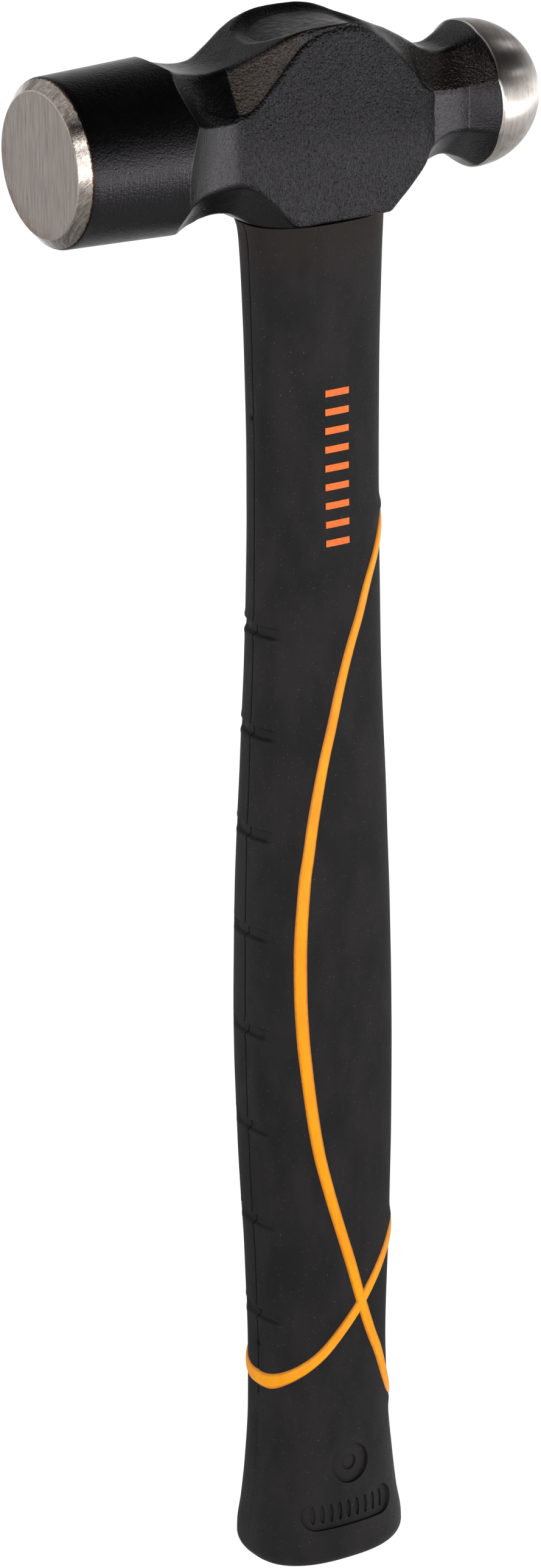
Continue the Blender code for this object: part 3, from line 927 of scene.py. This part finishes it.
class Paint(Tree):
    """One procedural material. Places are in mm, in the frame of the hammer."""

    def __init__(self, name, colour, roughness, metallic=0.0, specular=0.5):
        self.material = bpy.data.materials.new(name)
        super().__init__(self.material)
        self.shader = self.nodes["Principled BSDF"]
        self.set("Base Color", (*colour, 1))
        self.set("Roughness", roughness)
        self.set("Metallic", metallic)
        self.set("Specular IOR Level", specular)
        place = self.node("TexCoord").outputs["Object"]
        self.place = self.vector("MULTIPLY", place, (1000, 1000, 1000))
        self.x, self.y, self.z = self.split(self.place)
        self.up = self.plus(self.z, -HEAD_Z)

    def set(self, name, value):
        self.feed(self.shader.inputs[name], value)

    def noise(self, size, detail=2.0, roughness=0.5, place=None, warp=0.0):
        """Noise from 0 to 1. size is how far a patch reaches along x, y and z, in mm."""
        size = size if isinstance(size, tuple) else (size, size, size)
        scaled = self.vector("DIVIDE", place or self.place, size)
        sockets = {"Scale": 1.0, "Detail": detail, "Roughness": roughness, "Distortion": warp}
        return self.node("TexNoise", scaled, sockets=sockets).outputs[0]

    def specks(self, spacing, radius, share, stretch=(1, 1, 1)):
        """Dots, or short fibres with stretch, in a share of cells about spacing mm wide."""
        scaled = self.vector("DIVIDE", self.place, tuple(spacing * s for s in stretch))
        cells = self.node("TexVoronoi", scaled, sockets={"Scale": 1.0})
        chance = self.split(cells.outputs["Color"])[0]
        dots = self.rise(cells.outputs["Distance"], radius / spacing, 0.4 * radius / spacing)
        return self.times(dots, self.math("LESS_THAN", chance, share))

    def turn_shine(self, amount, axis):
        """Stretches the highlights, as fine lines round an axis of the hammer do."""
        self.set("Anisotropic", amount)
        self.set("Tangent", self.node("Tangent", direction_type="RADIAL", axis=axis).outputs[0])

    def finish(self, colour, roughness, height, depth=1.0):
        """Sets what varies, with bumps depth mm high where height goes from 0 to 1."""
        bump = self.node("Bump", sockets={"Height": height, "Distance": depth * MM}).outputs[0]
        self.set("Base Color", colour)
        self.set("Roughness", roughness)
        self.set("Normal", bump)
        return self.material


def make_lacquer():
    """Black satin lacquer over forged steel: orange peel, draw marks, dust, a brown rim where the
    lacquer is rubbed through, and a painted warm reflection on the slanted shoulder facets.
    """
    p = Paint("lacquer", (0.002, 0.002, 0.002), 0.36, specular=0.31)
    p.set("Specular Tint", (0.98, 0.93, 1.0, 1))
    side = p.absolute(p.y)
    cheek = p.times(
        p.rise(side, CHEEK - 0.7, CHEEK - 0.35), p.rise(side, CHEEK + 1.2, CHEEK + 0.6),
        p.rise(p.x, -36, -35), p.rise(p.x, 33, 32),
    )
    lean = p.split(p.node("NewGeometry").outputs["True Normal"])[1]
    outward = p.rise(p.times(lean, p.y), 1, 3)
    lean = p.absolute(lean)
    on_neck = p.times(p.rise(p.x, 26, 28), p.rise(lean, 0.95, 0.86))
    # the upper slanted facets of the shoulders and neck that face outwards: more orange peel there,
    # and a painted warm reflection in the colour below
    shoulder = p.times(
        p.most(p.rise(side, CHEEK - 0.4, CHEEK - 0.8), on_neck), p.rise(lean, 0.5, 0.66),
        outward, p.rise(p.up, 3, 6), p.rise(p.x, -25.3, -24.5), p.rise(p.x, 39, 38),
    )
    on_poll = p.times(p.rise(p.x, -34.5, -36), p.rise(p.absolute(p.up), 12, 7))
    draw = p.times(
        p.noise((0.45, 3.0, 1.5), 2.0, 0.6, warp=0.4), cheek,
        p.rise(p.up, 8, -2, 0.25, 1.0), p.rise(p.x, -27, -23, 0.0, 0.75),
    )
    pebble = p.times(
        p.noise((0.62, 0.7, 0.6), 2.0, 0.55, warp=0.25), cheek,
        p.rise(p.up, -6, 6, 0.35, 1.0), p.rise(p.x, -27, -23, 0.1, 0.62),
    )
    turned = p.rise(p.absolute(p.plus(p.x, -36.6)), 2.2, 1.2)
    ripple = p.math("SINE", p.plus(p.times(p.x, 5.6), p.times(p.noise(2.2, 2.0), 4.0)))
    height = p.plus(
        p.times(p.noise(0.62, 2.0, 0.6), 0.095),
        p.times(p.noise(0.3, 1.0), 0.05),
        draw,
        pebble,
        p.times(p.noise((0.5, 5.0, 5.0), 2.0, 0.5, warp=0.4), on_poll, 0.09),
        p.times(p.noise(0.6, 2.0, 0.55, warp=0.25), shoulder, 0.5),
        p.times(ripple, turned, p.rise(lean, 0.86, 0.95), 0.035),
    )
    patches = p.noise(9.0, 3.0, 0.6)
    warm_reflection_breakup = p.rise(p.noise(0.5, 2.0, 0.7), 0.3, 0.65, 0.35, 1.0)
    dust = p.most(p.specks(1.3, 0.12, 0.4), p.specks(3.1, 0.17, 0.4))
    ragged = p.plus(p.x, p.times(p.noise(0.6, 2.0, 0.6), 0.5))
    colour = p.coats(
        (0.0006, 0.0005, 0.0006),
        (patches, (0.0016, 0.0012, 0.0012)),
        # painted warm reflection on those facets, strongest towards the poll
        (p.times(shoulder, warm_reflection_breakup, p.rise(p.x, -10, 25, 1.0, 0.34)), (0.028, 0.0195, 0.0115)),
        (p.times(dust, 0.55), (0.08, 0.04, 0.03)),
        (p.rise(ragged, FACE_X + CHAMFER + 0.45, FACE_X + CHAMFER + 0.25), (0.028, 0.012, 0.006)),
    )
    grain = p.times(p.noise(1.6, 3.0, 0.6), 0.16)
    roughness = p.plus(grain, p.times(patches, 0.1), p.times(cheek, 0.04), 0.18)
    return p.finish(colour, roughness, height)


def make_ground_face():
    """Ground steel with fine upright grinding lines and a brown tinge near the rim."""
    p = Paint("ground_face", (0.25, 0.22, 0.2), 0.36, 1.0)
    p.turn_shine(0.45, "Z")
    lines = p.noise((8.0, 0.25, 7.0), 3.0, 0.65, warp=0.15)
    broad = p.noise((8.0, 1.5, 18.0), 3.0, 0.6)
    scratch = p.rise(p.noise((8.0, 0.3, 4.0), 2.0, 0.5, warp=0.3), 0.36, 0.24)
    rim = p.rise(p.length(p.join(0.0, p.y, p.up)), 11.5, 15.5)
    below = p.rise(p.plus(p.times(p.up, -0.7), p.times(p.y, 0.7)), 2, 12)
    cloud = p.rise(p.noise(2.0, 3.0, 0.7), 0.35, 0.6)
    colour = p.coats(
        (0.168, 0.143, 0.127),
        (p.rise(lines, 0.25, 0.75), (0.332, 0.29, 0.267)),
        (p.times(broad, 0.5), (0.30, 0.275, 0.26)),
        (p.times(scratch, 0.7), (0.07, 0.055, 0.045)),
        (p.times(rim, below, cloud, 0.6), (0.15, 0.105, 0.07)),
    )
    height = p.plus(lines, p.times(scratch, -0.6))
    return p.finish(colour, p.rise(lines, 0.2, 0.8, 0.44, 0.3), height, 0.012)


def make_ground_edge():
    """The face's bevel: turned steel, mottled brown and pitted, bright inside and dark outside."""
    p = Paint("ground_edge", (0.3, 0.27, 0.25), 0.3, 1.0)
    slant = p.plus(p.times(p.y, 0.75), p.times(p.up, 0.66))
    slanted = p.join(p.x, slant, p.math("SUBTRACT", p.up, p.y))
    lines = p.noise((0.9, 0.22, 9.0), 3.0, 0.6, place=slanted)
    mottle = p.noise(1.5, 4.0, 0.65)
    pits = p.rise(p.noise(0.5, 3.0, 0.6), 0.4, 0.3)
    ragged = p.plus(p.x, p.times(p.noise(0.8, 2.0, 0.6), 0.5))
    colour = p.coats(
        (0.16, 0.135, 0.118),
        (p.rise(lines, 0.3, 0.7), (0.36, 0.33, 0.305)),
        (p.rise(mottle, 0.42, 0.64, 0.0, 0.55), (0.15, 0.112, 0.088)),
        (p.times(pits, p.rise(p.up, -2, 10), 0.75), (0.035, 0.02, 0.014)),
        (p.times(p.rise(p.x, FACE_X + 0.3, FACE_X + 0.1), 0.5), (0.5, 0.47, 0.44)),
        (p.rise(ragged, FACE_X + CHAMFER - 0.1, FACE_X + CHAMFER + 0.15), (0.025, 0.012, 0.007)),
    )
    roughness = p.plus(p.rise(mottle, 0.35, 0.7, 0.12, 0.28), p.times(pits, 0.2))
    return p.finish(colour, roughness, p.plus(lines, p.times(mottle, 1.6)), 0.02)


def make_ground_ball():
    """The turned ball: fine rings round the head's axis, with a few dull spots."""
    p = Paint("ground_ball", (0.5, 0.46, 0.43), 0.3, 1.0)
    p.turn_shine(0.85, "X")
    p.set("Anisotropic Rotation", 0.25)
    rings = p.noise((0.2, 9.0, 9.0), 3.0, 0.6)
    broad = p.noise((1.6, 14.0, 14.0), 2.0, 0.5)
    mottle = p.noise(2.2, 4.0, 0.6)
    colour = p.coats(
        (0.38, 0.34, 0.315),
        (p.rise(rings, 0.25, 0.75), (0.60, 0.56, 0.53)),
        (p.times(broad, 0.45), (0.42, 0.38, 0.355)),
        (p.rise(mottle, 0.45, 0.72, 0.0, 0.5), (0.28, 0.24, 0.215)),
        (p.times(p.specks(1.5, 0.1, 0.2), 0.6), (0.06, 0.045, 0.035)),
    )
    roughness = p.plus(p.rise(rings, 0.2, 0.8, 0.34, 0.24), p.times(mottle, 0.1))
    return p.finish(colour, roughness, p.plus(rings, p.times(mottle, 0.6)), 0.02)


def make_resin():
    """Black epoxy poured into the eye: nearly smooth, with pinholes and dust."""
    p = Paint("eye_epoxy", (0.005, 0.005, 0.005), 0.4, specular=0.28)
    flow = p.noise(3.5, 3.0, 0.5)
    colour = p.coats(
        (0.003, 0.003, 0.0032),
        (flow, (0.006, 0.0055, 0.0052)),
        (p.times(p.specks(2.4, 0.1, 0.2), 0.5), (0.12, 0.08, 0.06)),
    )
    holes = p.times(p.specks(1.9, 0.14, 0.3), -0.08)
    height = p.plus(p.times(flow, 0.25), p.times(p.noise(0.7, 2.0), 0.03), holes)
    return p.finish(colour, p.rise(p.noise(1.2, 3.0, 0.6), 0.3, 0.7, 0.34, 0.5), height)


def make_rubber():
    """Moulded black rubber: a dull fine grain, faint flow marks, dust and short fibres, with
    painted shade in the parting groove and the small sunk marks.
    """
    p = Paint("rubber", (0.012, 0.011, 0.011), 0.66, specular=0.11)
    grain = p.noise(0.42, 3.0, 0.6)
    flow = p.noise((7.0, 7.0, 16.0), 3.0, 0.55)
    dust = p.most(p.specks(0.75, 0.11, 0.5), p.specks(2.2, 0.17, 0.5))
    upright = p.specks(3.2, 0.16, 0.4, (0.5, 0.5, 2.4))
    level = p.specks(3.7, 0.14, 0.3, (2.2, 2.2, 0.4))
    near_head = p.rise(p.plus(p.z, p.times(p.noise(5.0, 3.0, 0.6), 22.0)), HEAD_Z - 22, HEAD_Z - 6)
    side = p.absolute(p.y)
    parting = p.times(p.rise(side, 0.26, 0.14), p.rise(p.z, 42, 47, 0.1, 1.0))
    slope = 0.364
    wedge = p.rise(p.plus(side, p.times(p.plus(p.z, -WEDGE_HIGH), slope)), 0.027, -0.113)
    wedge = p.times(wedge, p.rise(p.z, WEDGE_LOW - 0.1, WEDGE_LOW + 0.1))
    pit = p.vector("MULTIPLY", p.vector("SUBTRACT", p.place, (0, PIT_Y, PIT_Z)), (0, 1.4, 1))
    pit = p.rise(p.length(pit), 0.8, 0.5)
    off = p.absolute(p.plus(p.z, -(DASH_LOW + DASH_HIGH) / 2))
    dash = p.times(p.rise(side, 0.3, 0.2), p.rise(off, 0.8, 0.6))
    holes = p.times(p.most(wedge, pit, dash), p.rise(p.x, -10, -12))
    colour = p.coats(
        (0.0112, 0.0104, 0.0106),
        (p.rise(flow, 0.28, 0.72), (0.0184, 0.0168, 0.0172)),
        (p.times(near_head, 0.75), (0.021, 0.0145, 0.011)),
        (p.times(dust, 0.7), (0.11, 0.1, 0.095)),
        (p.times(p.most(upright, level), 0.3), (0.09, 0.075, 0.068)),
        # painted shade: near black in the sunk wedge, pit and dash, and along the parting groove
        (p.most(holes, p.times(parting, 0.85)), (0.0015, 0.0015, 0.0015)),
    )
    roughness = p.plus(p.rise(grain, 0.3, 0.7, 0.58, 0.7), p.times(flow, 0.05))
    waves = p.plus(p.times(p.noise(1.7, 2.0), 0.08), p.times(p.noise(6.0, 2.0), 0.2))
    return p.finish(colour, roughness, p.plus(p.times(grain, 0.06), waves))


def make_orange():
    """Hard orange plastic: slightly glossy, with a fine grain, and painted shade that makes it
    darker and redder towards a band's rounded edges.
    """
    p = Paint("orange", (1.0, 0.38, 0.01), 0.42, specular=0.2)
    edge = p.node("Attribute", attribute_name="edge").outputs["Fac"]
    band_edge_shade = p.plus(edge, p.times(p.noise(1.2, 2.0), 0.25))
    colour = p.coats(
        (0.9, 0.36, 0.004),
        (p.rise(p.noise((3.0, 3.0, 9.0), 3.0, 0.6), 0.3, 0.7), (0.88, 0.3, 0.004)),
        # painted shade towards the rounded edges of a band
        (p.rise(band_edge_shade, 0.6, 1.12, 0.0, 0.85), (0.42, 0.11, 0.012)),
        (p.times(p.specks(2.0, 0.09, 0.2), 0.5), (0.45, 0.12, 0.01)),
    )
    roughness = p.rise(p.noise(0.6, 2.0, 0.6), 0.3, 0.7, 0.34, 0.48)
    return p.finish(colour, roughness, p.noise(0.5, 2.0, 0.6), 0.02)


def make_ink():
    """Printed orange ink: flat and matt, a little uneven over the rubber's grain."""
    p = Paint("ink", (1.0, 0.17, 0.03), 0.55, specular=0.2)
    cover = p.noise(0.45, 3.0, 0.65)
    colour = p.coats((0.72, 0.11, 0.02), (p.rise(cover, 0.3, 0.6), (1.0, 0.185, 0.03)))
    return p.finish(colour, p.rise(cover, 0.3, 0.7, 0.48, 0.62), cover, 0.02)


def make_fibre():
    """Glass fibre rod: amber resin over long pale strands."""
    p = Paint("fibre", (0.3, 0.24, 0.14), 0.4)
    strands = p.noise((0.35, 0.35, 60.0), 3.0, 0.6)
    colour = p.coats(
        (0.20, 0.15, 0.08),
        (p.rise(strands, 0.3, 0.7), (0.46, 0.40, 0.27)),
        (p.times(p.noise((4.0, 4.0, 25.0), 3.0), 0.4), (0.25, 0.17, 0.07)),
    )
    return p.finish(colour, p.rise(strands, 0.3, 0.7, 0.32, 0.5), strands, 0.03)


# ---------------------------------------------------------------- the pieces

head = make_head([make_lacquer(), make_ground_face(), make_ground_edge(), make_ground_ball()])
filler = make_filler(make_resin())
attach(head, "root")
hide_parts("head")
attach(filler, "root")
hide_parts("eye_filler")
orange = make_orange()
grips = make_grips(make_rubber())
make_jacket(orange)
make_marks(grips["butt_grip"], make_ink())
make_band("loop_band", LOOP_PATH, LOOP_HALF, 2, 300, orange)
make_band("ring_band", RING_PATH, RING_HALF, 0, 90, orange)
fibre = make_fibre()
for slot in frame["nodes"]["core_rod"].material_slots:
    slot.material = fibre


# ---------------------------------------------------------------- stage, light and camera

def plane(name, z, material):
    """A wide square that isn't part of the object, at height z in mm."""
    points = [(FLOOR_HALF * x, FLOOR_HALF * y, z) for x, y in ((-1, -1), (1, -1), (1, 1), (-1, 1))]
    made = new_object(name, points, [(0, 1, 2, 3)], [material])
    return made


def direction(azimuth, elevation):
    """Unit vector towards an azimuth, from -Y towards +X, and an elevation, in degrees."""
    a, e = math.radians(azimuth), math.radians(elevation)
    return Vector((math.sin(a) * math.cos(e), -math.cos(a) * math.cos(e), math.sin(e)))


# azimuth, elevation, the angles within which a wall is full and beyond which it is gone, brightness
WALLS = (
    (-133, 28, 34, 46, 1.1),
    (122, 24, 8, 28, 0.4),
    (152, 6, 12, 34, 0.7),
)
# name, azimuth, elevation, width, height, brightness against a white floor of 1, distance
SOFTBOXES = (
    ("low_light_0", -50, -9, 1.0, 0.36, 3.6, 1.2),
    ("low_light_1", 0, -9, 1.0, 0.36, 4.0, 1.2),
    ("low_light_2", 100, -9, 1.0, 0.36, 1.2, 1.2),
    ("near_light", 44, -16, 0.6, 0.19, 6.2, 0.8),
    ("right_light", 72, 17, 0.35, 0.12, 6.5, 2.2),
    ("high_right_light", 102, 31, 0.4, 0.25, 4.0, 2.2),
    ("left_light", -60, 3, 0.45, 0.5, 10.0, 2.2),
    ("high_left_light", -65, 21, 0.45, 0.3, 8.0, 2.2),
)
FLOOR_HALF = 8000
CAMERA_RIGHT = Vector((0.84331167, -0.53735202, -0.00884504))
CAMERA_UP = Vector((0.19339433, 0.28807212, 0.9378769))
CAMERA_PLACE = Vector((-0.754646, -1.174871, 0.700232))


def softbox(name, azimuth, elevation, width, height, radiance, distance):
    """A rectangular light aimed at the head, with its size and distance in metres."""
    data = bpy.data.lights.new(name, "AREA")
    data.shape, data.size, data.size_y = "RECTANGLE", width, height
    data.energy = radiance * math.pi * width * height
    made = bpy.data.objects.new(name, data)
    target = Vector((0, 0, 0.3))
    made.location = target + direction(azimuth, elevation) * distance
    made.rotation_mode = "QUATERNION"
    made.rotation_quaternion = (target - made.location).to_track_quat("-Z", "Y")
    made.visible_camera = False
    bpy.context.scene.collection.objects.link(made)


def make_world():
    """A dim studio: a bright horizon, grey walls to the left, right and back, and a dark top."""
    world = bpy.data.worlds.new("studio")
    t = Tree(world)
    facing = t.node("TexCoord").outputs["Generated"]
    level = t.rise(t.split(facing)[2], 0.36, -0.02, 0.03, 1.2)
    for azimuth, elevation, inner, outer, strength in WALLS:
        near = t.dot(facing, tuple(direction(azimuth, elevation)))
        low, high = math.cos(math.radians(outer)), math.cos(math.radians(inner))
        level = t.most(level, t.rise(near, low, high, 0, strength))
    t.feed(t.nodes["Background"].inputs["Color"], level)
    return world


def glowing(name, grey, strength):
    """Matt grey paint that gives off white light."""
    paint = Paint(name, (grey, grey, grey), 0.9, specular=0.0)
    paint.set("Emission Color", (1, 1, 1, 1))
    paint.set("Emission Strength", strength)
    return paint


floor_paint = glowing("floor_paint", 0.25, 0.98)
floor = plane("floor", cad_low.z / MM - 0.05, floor_paint.material)
floor.visible_glossy = floor.visible_diffuse = False
# a glowing card seen only in reflections, standing in for light off the floor. It carries painted
# shade that dims it within about 0.8 m of the handle's axis, is a little brighter towards +X, and
# has a painted pool of light right round the foot
lit = glowing("bounce_paint", 0, 1)
away = lit.length(lit.vector("MULTIPLY", lit.place, (1, 1, 0)))
glow = lit.times(lit.rise(away, 90, 800, 0.42, 1.0), lit.rise(lit.x, 80, 600, 1.0, 1.2))
foot_glow = lit.times(lit.rise(away, 95, 55), lit.rise(lit.x, 0, 35, 0.75, 1.9))
lit.set("Emission Strength", lit.most(glow, foot_glow))
bounce = plane("floor_bounce", cad_low.z / MM - 0.1, lit.material)
bounce.visible_camera = False
bpy.context.scene.world = make_world()
for row in SOFTBOXES:
    softbox(*row)
bpy.context.scene.view_settings.view_transform = "Standard"

camera_data = bpy.data.cameras.new("camera")
camera_data.sensor_width = 36.0
camera_data.lens = 156.17
camera_data.clip_start, camera_data.clip_end = 0.05, 50
camera = bpy.data.objects.new("camera", camera_data)
bpy.context.scene.collection.objects.link(camera)
turned = Matrix((CAMERA_RIGHT, CAMERA_UP, CAMERA_RIGHT.cross(CAMERA_UP))).transposed().to_4x4()
camera.matrix_world = Matrix.Translation(CAMERA_PLACE) @ turned
bpy.context.scene.camera = camera
